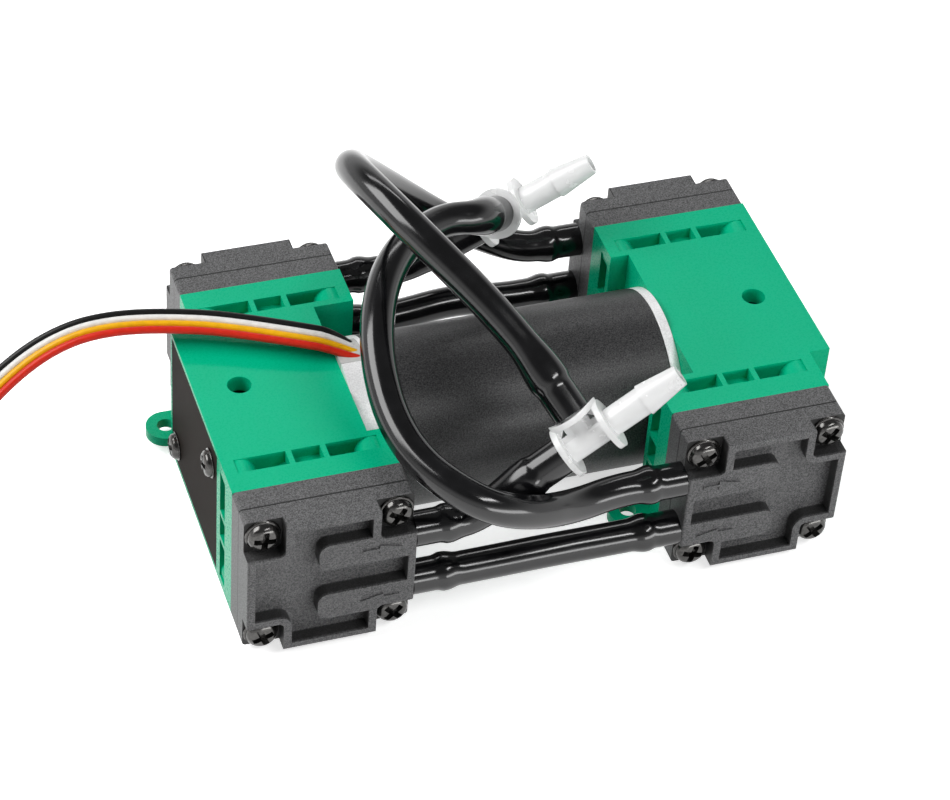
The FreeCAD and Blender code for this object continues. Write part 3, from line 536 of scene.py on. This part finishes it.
outer = pump["outerPortX"]
inner = pump["innerPortX"]
hoses = {
    "hoseInletLoop": {
        "node": "hose_inlet_loop", "barbs": (portBarb, teeBarb),
        "route": [port(inner, -1, 1), port(inner, -1, 1, 6), port(inner, -1, 1, 14),
                  (1.7, -40.4, 25.9), (-8.6, -45.5, 31.6), (-17, -46.8, 36), (-23.3, -43.3, 38.8),
                  (-28.7, -35, 40.3), (-31.3, -26, 43.4), (-31.3, -16.5, 47.8), (-29.1, -7, 50.9),
                  (-25.1, 2, 52.8), (-19.4, 10, 53.4), (-12.9, 16, 52.1), (-6.1, 20, 51),
                  onBranch(inletTee, 19.5), onBranch(inletTee, 12), onBranch(inletTee, teeHalf)]},
    "hoseOutletLoop": {
        "node": "hose_outlet_loop", "barbs": (teeBarb, portBarb),
        "route": [onBranch(outletTee, teeHalf), onBranch(outletTee, 13), onBranch(outletTee, 21),
                  (-10.5, -13.5, 59.5), (-17.9, -3.4, 65.5), (-23.2, 7.4, 68.3), (-25.7, 18.5, 67.2),
                  (-24.7, 28.5, 62.1), (-17.2, 37.2, 51), (-7.3, 44, 38.4), (2.1, 47, 28.4),
                  (9.6, 44.2, 24.2), port(outer, 1, 1, 12.7), port(outer, 1, 1, 6), port(outer, 1, 1)]},
    "hoseOutletFeed": {
        "node": "hose_outlet_feed", "barbs": (portBarb, teeBarb),
        "route": [port(-outer, -1, 1), port(-outer, -1, 1, 6), port(-outer, -1, 1, 11.9),
                  onRun(outletTee, -20), onRun(outletTee, -12), onRun(outletTee, -teeHalf)]},
    "hoseInletFeed": {
        "node": "hose_inlet_feed", "barbs": (portBarb, teeBarb),
        "route": [port(-inner, 1, 1), port(-inner, 1, 1, 6), port(-inner, 1, 1, 16.75),
                  onRun(inletTee, -18), onRun(inletTee, -11), onRun(inletTee, -teeHalf)]},
    "hoseFrontLink": {
        "node": "hose_front_link", "barbs": (portBarb, portBarb),
        "route": [port(-outer, -1, -1), port(-outer, -1, -1, 8), port(-outer, -1, -1, 16),
                  (-2.225, -37.6, 12.0), port(inner, -1, -1, 16), port(inner, -1, -1, 8),
                  port(inner, -1, -1)]},
    "hoseBackLink": {
        "node": "hose_back_link", "barbs": (portBarb, portBarb),
        "route": [port(-inner, 1, -1), port(-inner, 1, -1, 8), port(-inner, 1, -1, 16),
                  (2.225, 37.6, 12.8), port(outer, 1, -1, 16), port(outer, 1, -1, 8), port(outer, 1, -1)]},
}


def splineCurve(name, points):   # a smooth open curve from its control points in millimetres
    data = bpy.data.curves.new(name, "CURVE")
    data.dimensions = "3D"
    spline = data.splines.new("NURBS")
    spline.points.add(len(points) - 1)
    for target, point in zip(spline.points, points):
        target.co = (*(Vector(point) * mm), 1.0)
    spline.order_u = curves["order"]
    spline.use_endpoint_u = True
    spline.resolution_u = curves["steps"]
    return data


def splinePath(name, points):   # points along the smooth curve, close together, in metres
    data = splineCurve(name, points)
    thing = bpy.data.objects.new(name, data)
    bpy.context.scene.collection.objects.link(thing)
    graph = bpy.context.evaluated_depsgraph_get()
    mesh = bpy.data.meshes.new_from_object(thing.evaluated_get(graph), depsgraph=graph)
    path = [vertex.co.copy() for vertex in mesh.vertices]
    bpy.data.meshes.remove(mesh)
    bpy.data.objects.remove(thing)
    return path


def evenly(path, step):   # points the same distance apart along a path, with their distances
    lengths = [0.0]
    for before, after in zip(path, path[1:]):
        lengths.append(lengths[-1] + (after - before).length)
    count = max(2, round(lengths[-1] / step))
    places = []
    index = 0
    for number in range(count + 1):
        goal = lengths[-1] * number / count
        while index < len(path) - 2 and lengths[index + 1] < goal:
            index += 1
        span = lengths[index + 1] - lengths[index]
        share = (goal - lengths[index]) / span if span > 0 else 0.0
        places.append((path[index].lerp(path[index + 1], min(1.0, share)), goal))
    return places, lengths[-1]


def smoothStep(value, low, high):
    t = max(0.0, min(1.0, (value - low) / (high - low)))
    return t * t * (3 - 2 * t)


def stretched(distance, barb):   # a hose's outside radius over a barb, at a distance from the face
    free = pump["hoseRadius"]
    root = barb["root"]
    place = barb["ridgePlace"]
    up = smoothStep(distance, place - barbSwell["rise"], place)
    down = smoothStep(distance, place + barbSwell["ridgeWidth"], barb["length"] + barbSwell["past"])
    return (root + (barb["ridge"] - root) * up) * (1 - down) + free * down


def sweptTube(name, path, radiusAt):   # filled tube without a bore; radiusAt takes both ends' distances
    places, total = evenly(path, hoseMesh["step"] * mm)
    sides = hoseMesh["sides"]
    shell = bmesh.new()
    rings = []
    tangent = (places[1][0] - places[0][0]).normalized()
    side = tangent.orthogonal().normalized()
    for number, (point, along) in enumerate(places):
        before = places[max(0, number - 1)][0]
        after = places[min(len(places) - 1, number + 1)][0]
        tangent = (after - before).normalized()
        side = (side - tangent * side.dot(tangent)).normalized()
        other = tangent.cross(side)
        radius = radiusAt(along / mm, (total - along) / mm) * mm
        ring = []
        for index in range(sides):
            angle = 2 * math.pi * index / sides
            ring.append(shell.verts.new(point + (side * math.cos(angle) + other * math.sin(angle)) * radius))
        rings.append(ring)
    for first, second in zip(rings, rings[1:]):
        for index in range(sides):
            following = (index + 1) % sides
            shell.faces.new((first[index], first[following], second[following], second[index]))
    shell.faces.new(list(reversed(rings[0])))
    shell.faces.new(rings[-1])
    mesh = bpy.data.meshes.new(name)
    shell.to_mesh(mesh)
    shell.free()
    smoothByAngle(mesh, hoseMesh["smoothAngle"])
    return mesh


def makeHoses():
    for name, hose in hoses.items():
        startBarb, endBarb = hose["barbs"]
        path = splinePath(name, hose["route"])

        def radiusAt(fromStart, fromEnd, startBarb=startBarb, endBarb=endBarb):
            if fromStart < fromEnd:
                return stretched(fromStart, startBarb)
            return stretched(fromEnd, endBarb)

        newPiece(name, sweptTube(name, path, radiusAt), hoseBlack, "root", (hose["node"],))


makeHoses()
print("hoses are made")

# leads

leads = {
    "radius": 0.8,
    "spacing": 1.72,
    "exitX": -29.6,
    "exitArc": 17.2,   # the leads leave side by side on this radius about the motor's axis
    "exitTurn": 12.4,
    "exitSpacing": 1.95,
    "roundness": 4,
    "roughness": 0.34,
    "grain": 700.0,
    "gloss": 0.25,
    "route": [(-34.2, 5.6, 37), (-39.2, 7.5, 37.7), (-44.4, 9.7, 38.1), (-50.3, 12.3, 38.4),
              (-56.4, 14.9, 38.5), (-62.7, 16.9, 38.5), (-69.2, 18.5, 38.5), (-75.8, 19.7, 38.1),
              (-82.4, 20.4, 36.8), (-89.2, 20.3, 34), (-95.8, 19.4, 29.9), (-102.2, 17.8, 24.8),
              (-108.8, 16, 18.6), (-115.4, 13.6, 12), (-122.2, 10.2, 6.2), (-129.6, 5.6, 2.2),
              (-136.8, -0.6, 0.85), (-142.2, -8.6, 0.85), (-145, -18, 0.85), (-145, -27.8, 0.85)],
    "colours": [("red", (0.6, 0.02, 0.008)), ("yellow", (0.8, 0.42, 0.004)), ("white", (0.76, 0.75, 0.73)),
                ("black", (0.006, 0.006, 0.006))],
}


def leadExit(place):
    turn = math.radians(leads["exitTurn"]) + place * leads["exitSpacing"] / leads["exitArc"]
    return Vector((leads["exitX"], leads["exitArc"] * math.sin(turn),
                   pump["axisHeight"] + leads["exitArc"] * math.cos(turn)))


def leadRoute(index):   # one lead's control points, beside its neighbours along the middle line
    middle = [leadExit(0.0)] + [Vector(point) for point in leads["route"]]
    place = index - (len(leads["colours"]) - 1) / 2
    points = [leadExit(place)]
    for before, point, after in zip(middle, middle[1:], middle[2:] + middle[-1:]):
        sideways = (after - before).cross(Vector((0, 0, 1))).normalized()
        points.append(point + sideways * (place * leads["spacing"]))
    return points


def makeLeads():
    for index, (colour, tint) in enumerate(leads["colours"]):
        points = leadRoute(index)
        data = splineCurve("lead" + colour.capitalize(), points)
        data.bevel_depth = leads["radius"] * mm
        data.bevel_resolution = leads["roundness"]
        data.use_fill_caps = True
        data.materials.append(plainPlastic(colour + "Insulation", tint, leads["roughness"], leads["grain"],
                                           leads["gloss"]))
        lead = bpy.data.objects.new("lead" + colour.capitalize(), data)
        bpy.context.scene.collection.objects.link(lead)
        path = splinePath("measure", points)
        length = sum((after - before).length for before, after in zip(path, path[1:]))
        print("lead", colour, round(length, 4))
        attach(lead, "root")
        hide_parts("lead_" + colour)
        points[0] * mm


makeLeads()
print("leads are made")

# screws

def screwHead(name):   # pan head with a cross recess, standing on the XY plane
    radius = screws["headRadius"] * mm
    height = screws["headHeight"] * mm
    sides = screws["sides"]
    shell = bmesh.new()
    rings = []
    for rise, share in screws["headProfile"]:
        rings.append([shell.verts.new((radius * share * math.cos(2 * math.pi * index / sides),
                                       radius * share * math.sin(2 * math.pi * index / sides),
                                       height * rise)) for index in range(sides)])
    for first, second in zip(rings, rings[1:]):
        for index in range(sides):
            following = (index + 1) % sides
            shell.faces.new((first[index], first[following], second[following], second[index]))
    shell.faces.new(rings[-1])
    shell.faces.new(list(reversed(rings[0])))
    mesh = bpy.data.meshes.new(name)
    shell.to_mesh(mesh)
    shell.free()
    body = bpy.data.objects.new(name, mesh)
    bpy.context.scene.collection.objects.link(body)
    cutter = recessCutter()
    cut = body.modifiers.new("recess", "BOOLEAN")
    cut.object = cutter
    cut.solver = "EXACT"
    cut.operation = "DIFFERENCE"
    baked = bakedMesh(body, name)
    bpy.data.objects.remove(cutter)
    return steadied(baked, name, screws["smoothAngle"])


def prism(name, lower, upper):   # closed solid between two outlines with the same number of corners
    shell = bmesh.new()
    bottom = [shell.verts.new(point) for point in lower]
    top = [shell.verts.new(point) for point in upper]
    for index in range(len(bottom)):
        following = (index + 1) % len(bottom)
        shell.faces.new((bottom[index], bottom[following], top[following], top[index]))
    shell.faces.new(top)
    shell.faces.new(list(reversed(bottom)))
    bmesh.ops.recalc_face_normals(shell, faces=shell.faces)
    mesh = bpy.data.meshes.new(name)
    shell.to_mesh(mesh)
    shell.free()
    return mesh


def recessCutter():   # tapered cross that is cut into a screw head
    reach = screws["recessReach"] * mm
    half = screws["recessWidth"] * mm / 2
    top = screws["headHeight"] * mm * screws["cutterTop"]
    bottom = (screws["headHeight"] - screws["recessDepth"]) * mm
    outline = [(reach, -half), (reach, half), (half, half), (half, reach), (-half, reach), (-half, half),
               (-reach, half), (-reach, -half), (-half, -half), (-half, -reach), (half, -reach),
               (half, -half)]
    taper = screws["recessTaper"]
    mesh = prism("recessCutter", [(x * taper, y * taper, bottom) for x, y in outline],
                 [(x, y, top) for x, y in outline])
    cutter = bpy.data.objects.new("recessCutter", mesh)
    bpy.context.scene.collection.objects.link(cutter)
    return cutter


def scatterTree(name):   # stands one mesh on each point, along its facing and spun about it
    tree = bpy.data.node_groups.new(name, "GeometryNodeTree")
    face = tree.interface
    face.new_socket("Geometry", in_out="INPUT", socket_type="NodeSocketGeometry")
    face.new_socket("Head", in_out="INPUT", socket_type="NodeSocketObject")
    face.new_socket("Most spin", in_out="INPUT", socket_type="NodeSocketFloat")
    face.new_socket("Width", in_out="INPUT", socket_type="NodeSocketFloat")
    face.new_socket("Height", in_out="INPUT", socket_type="NodeSocketFloat")
    face.new_socket("Finish", in_out="INPUT", socket_type="NodeSocketMaterial")
    face.new_socket("Geometry", in_out="OUTPUT", socket_type="NodeSocketGeometry")
    nodes, links = tree.nodes, tree.links
    start = nodes.new("NodeGroupInput")
    end = nodes.new("NodeGroupOutput")
    facing = nodes.new("GeometryNodeInputNamedAttribute")
    facing.data_type = "FLOAT_VECTOR"
    facing.inputs["Name"].default_value = "facing"
    align = nodes.new("FunctionNodeAlignRotationToVector")
    align.axis = "Z"
    links.new(facing.outputs["Attribute"], align.inputs["Vector"])
    chance = nodes.new("FunctionNodeRandomValue")
    chance.data_type = "FLOAT"
    chance.inputs["Seed"].default_value = screws["spinSeed"]
    links.new(start.outputs["Most spin"], chance.inputs[3])
    own = nodes.new("GeometryNodeInputNamedAttribute")
    own.data_type = "FLOAT"
    own.inputs["Name"].default_value = "spin"
    total = nodes.new("ShaderNodeMath")
    total.operation = "ADD"
    links.new(chance.outputs[1], total.inputs[0])
    links.new(own.outputs["Attribute"], total.inputs[1])
    spin = nodes.new("ShaderNodeCombineXYZ")
    links.new(total.outputs[0], spin.inputs["Z"])
    turn = nodes.new("FunctionNodeEulerToRotation")
    links.new(spin.outputs[0], turn.inputs[0])
    combined = nodes.new("FunctionNodeRotateRotation")
    combined.rotation_space = "LOCAL"
    links.new(align.outputs[0], combined.inputs[0])
    links.new(turn.outputs[0], combined.inputs[1])
    head = nodes.new("GeometryNodeObjectInfo")
    links.new(start.outputs["Head"], head.inputs["Object"])
    size = nodes.new("ShaderNodeCombineXYZ")
    links.new(start.outputs["Width"], size.inputs["X"])
    links.new(start.outputs["Width"], size.inputs["Y"])
    links.new(start.outputs["Height"], size.inputs["Z"])
    place = nodes.new("GeometryNodeInstanceOnPoints")
    links.new(start.outputs["Geometry"], place.inputs["Points"])
    links.new(head.outputs["Geometry"], place.inputs["Instance"])
    links.new(combined.outputs[0], place.inputs["Rotation"])
    links.new(size.outputs[0], place.inputs["Scale"])
    real = nodes.new("GeometryNodeRealizeInstances")
    links.new(place.outputs[0], real.inputs[0])
    paint = nodes.new("GeometryNodeSetMaterial")
    links.new(real.outputs[0], paint.inputs["Geometry"])
    links.new(start.outputs["Finish"], paint.inputs["Material"])
    links.new(paint.outputs[0], end.inputs[0])
    return tree


def scattered(name, tree, places, head, finish, mostSpin=0.0, width=1.0, height=1.0):   # point, facing, spin
    mesh = bpy.data.meshes.new(name)
    mesh.from_pydata([point * mm for point, facing, spin in places], [], [])
    mesh.attributes.new("facing", "FLOAT_VECTOR", "POINT")
    mesh.attributes.new("spin", "FLOAT", "POINT")
    for index, (point, facing, spin) in enumerate(places):
        mesh.attributes["facing"].data[index].vector = facing
        mesh.attributes["spin"].data[index].value = spin
    thing = bpy.data.objects.new(name, mesh)
    bpy.context.scene.collection.objects.link(thing)
    nodes = thing.modifiers.new("scatter", "NODES")
    nodes.node_group = tree
    values = {"Head": head, "Most spin": mostSpin, "Width": width, "Height": height, "Finish": finish}
    for item in tree.interface.items_tree:
        if item.in_out == "INPUT" and item.name in values:
            nodes[item.identifier] = values[item.name]
    return bakedMesh(thing, name)


def headMiddles():   # middle of each head across the pump, and the side that it faces
    far = screws["farHeadX"]
    near = screws["nearHeadX"]
    return [(far, 1), (near, -1), (-far, -1), (-near, 1)]


def headScrewPlaces():
    places = []
    for x, side in headMiddles():
        for dx in (-screws["pitchX"] / 2, screws["pitchX"] / 2):
            for dz in (-screws["pitchZ"] / 2, screws["pitchZ"] / 2):
                point = Vector((x + dx, side * screws["pocketFloor"], pump["axisHeight"] + dz))
                places.append((point, Vector((0, side, 0)), 0.0))
    return places


def plateScrewPlaces():
    places = []
    for turn in (1, -1):
        for side in (1, -1):
            point = Vector((turn * screws["plateX"], turn * side * screws["plateY"],
                            pump["axisHeight"] + side * screws["plateZ"]))
            places.append((point, Vector((turn, 0, 0)), 0.0))
    return places


scatter = scatterTree("scatterOnPoints")


def makeScrews():
    head = bpy.data.objects.new("screwPattern", screwHead("screwPattern"))
    bpy.context.scene.collection.objects.link(head)
    flatter = screws["plateHeadHeight"] / screws["headHeight"]
    spin = screws["mostSpin"]
    meshes = {"head_screws": scattered("headScrews", scatter, headScrewPlaces(), head, screwSteel, spin),
              "end_cover_screws": scattered("plateScrews", scatter, plateScrewPlaces(), head, screwSteel,
                                            spin, screws["plateHeadWidth"], flatter)}
    for node, mesh in meshes.items():
        newPiece(mesh.name, mesh, screwSteel, "root", (node,))
    bpy.data.objects.remove(head)


makeScrews()
print("screws are made")

# flow arrows raised on the heads' channels

arrows = {
    "headLength": 4.5,
    "headHalf": 1.1,
    "tailLength": 3.3,
    "tailHalf": 0.32,
    "raised": 0.35,
    "sunk": 0.15,
    "face": 40.7,
    "fromMiddle": 9.7,
    "rise": 6.65,
}


def arrowPlaces():
    places = []
    for x, side in headMiddles():
        for rise in (1, -1):
            point = Vector((x - math.copysign(arrows["fromMiddle"], x), side * arrows["face"],
                            pump["axisHeight"] + rise * arrows["rise"]))
            along = -side * rise   # in front right above and left below, at the back turned by half
            places.append((point, Vector((0, side, 0)), 0.0 if along > 0 else math.pi))
    return places


def makeArrows():
    half = (arrows["headLength"] + arrows["tailLength"]) / 2
    neck = half - arrows["headLength"]
    wide = arrows["headHalf"]
    thin = arrows["tailHalf"]
    outline = [(half, 0), (neck, wide), (neck, thin), (-half, thin), (-half, -thin), (neck, -thin),
               (neck, -wide)]
    mesh = prism("arrowPattern", [Vector((x, y, -arrows["sunk"])) * mm for x, y in outline],
                 [Vector((x, y, arrows["raised"])) * mm for x, y in outline])
    arrow = bpy.data.objects.new("arrowPattern", mesh)
    bpy.context.scene.collection.objects.link(arrow)
    newPiece("flowArrows", scattered("flowArrows", scatter, arrowPlaces(), arrow, headGrey), headGrey)
    bpy.data.objects.remove(arrow)


makeArrows()
print("arrows are made")

# moulded blocks and heads

heads = {
    "halfWidth": 16.7,
    "halfHeight": 16.5,
    "cornerRound": 2.2,   # as the solids have it
    "cornerSeen": 0.8,
    "slack": 0.01,
}


def squarerCorners(middle):   # draws a head's rounded upright corners out to the tight ones it has
    share = heads["cornerSeen"] / heads["cornerRound"]

    def reshape(corner):
        dx = corner.co.x / mm - middle
        dz = corner.co.z / mm - pump["axisHeight"]
        pastX = abs(dx) - (heads["halfWidth"] - heads["cornerRound"])
        pastZ = abs(dz) - (heads["halfHeight"] - heads["cornerRound"])
        if pastX > -heads["slack"] and pastZ > -heads["slack"]:
            newX = heads["halfWidth"] - heads["cornerSeen"] + pastX * share
            newZ = heads["halfHeight"] - heads["cornerSeen"] + pastZ * share
            corner.co.x = (middle + math.copysign(newX, dx)) * mm
            corner.co.z = (pump["axisHeight"] + math.copysign(newZ, dz)) * mm

    return reshape


for side in ("left", "right"):
    eased("crankcase_" + side, "crankcase" + side.capitalize(), green, 0.2)
    eased("end_cover_" + side, "endCover" + side.capitalize(), plateBrown, 0.15)
for place, middle in (("front_left", -screws["farHeadX"]), ("front_right", screws["nearHeadX"]),
                      ("back_left", -screws["nearHeadX"]), ("back_right", screws["farHeadX"])):
    words = "".join(part.capitalize() for part in place.split("_"))
    squarer = squarerCorners(middle)
    eased("head_base_" + place, "headBase" + words, headGrey, 0.25, reshape=squarer)
    eased("head_cover_" + place, "headCover" + words, headGrey, 0.4, 3, squarer)
print("blocks and heads are made")

# motor and tees

eased("motor_can", "motorCan", motorBlack, 0.3)
eased("motor_front_plate", "motorFrontPlate", castMetal, 0.25)
eased("motor_rear_cap", "motorRearCap", castMetal, 0.25)
eased("tee_outlet", "teeOutlet", milky, 0.2)
eased("tee_inlet", "teeInlet", milky, 0.2)
print("motor and tees are made")

# finishes of the other nodes

rubber = plainPlastic("blackRubber", (0.02, 0.02, 0.02), 0.6)
nodeFinishes = {
    "valve_rubber": rubber,
    "core_steel": metalFinish("laminatedSteel", (0.35, 0.35, 0.36), 0.45),
    "copper": metalFinish("enamelledCopper", (0.6, 0.22, 0.08), 0.3),
    "bearing_steel": groundSteel,
    "board_green": plainPlastic("coatedBoard", (0.02, 0.14, 0.05), 0.25),
    "grommet_grey": plainPlastic("greyGrommet", (0.5, 0.5, 0.49), 0.5),
    "magnet_dark": metalFinish("coatedMagnet", (0.12, 0.12, 0.13), 0.4),
    "brass_hub": metalFinish("turnedBrass", (0.6, 0.42, 0.14), 0.25),
    "rod_plastic": plainPlastic("rodPlastic", (0.62, 0.58, 0.48), 0.4),
    "tinned_copper": metalFinish("tinnedCopper", (0.7, 0.7, 0.68), 0.25),
    "dark_screws": screwSteel,
    "green_plastic": green,
    "end_cover_steel": plateBrown,
    "head_plastic": headGrey,
    "motor_black": motorBlack,
    "bright_metal": castMetal,
    "hose_rubber": hoseBlack,
    "tee_plastic": milky,
}


def dressNodes():
    slots = {part["node"]: part["material_slot"] for part in frame["record"]["subparts"]}
    for node, thing in frame["nodes"].items():
        finish = nodeFinishes.get(slots[node])
        if finish:
            for slot in thing.material_slots:
                slot.link = "OBJECT"
                slot.material = finish


dressNodes()
print("all nodes are dressed")
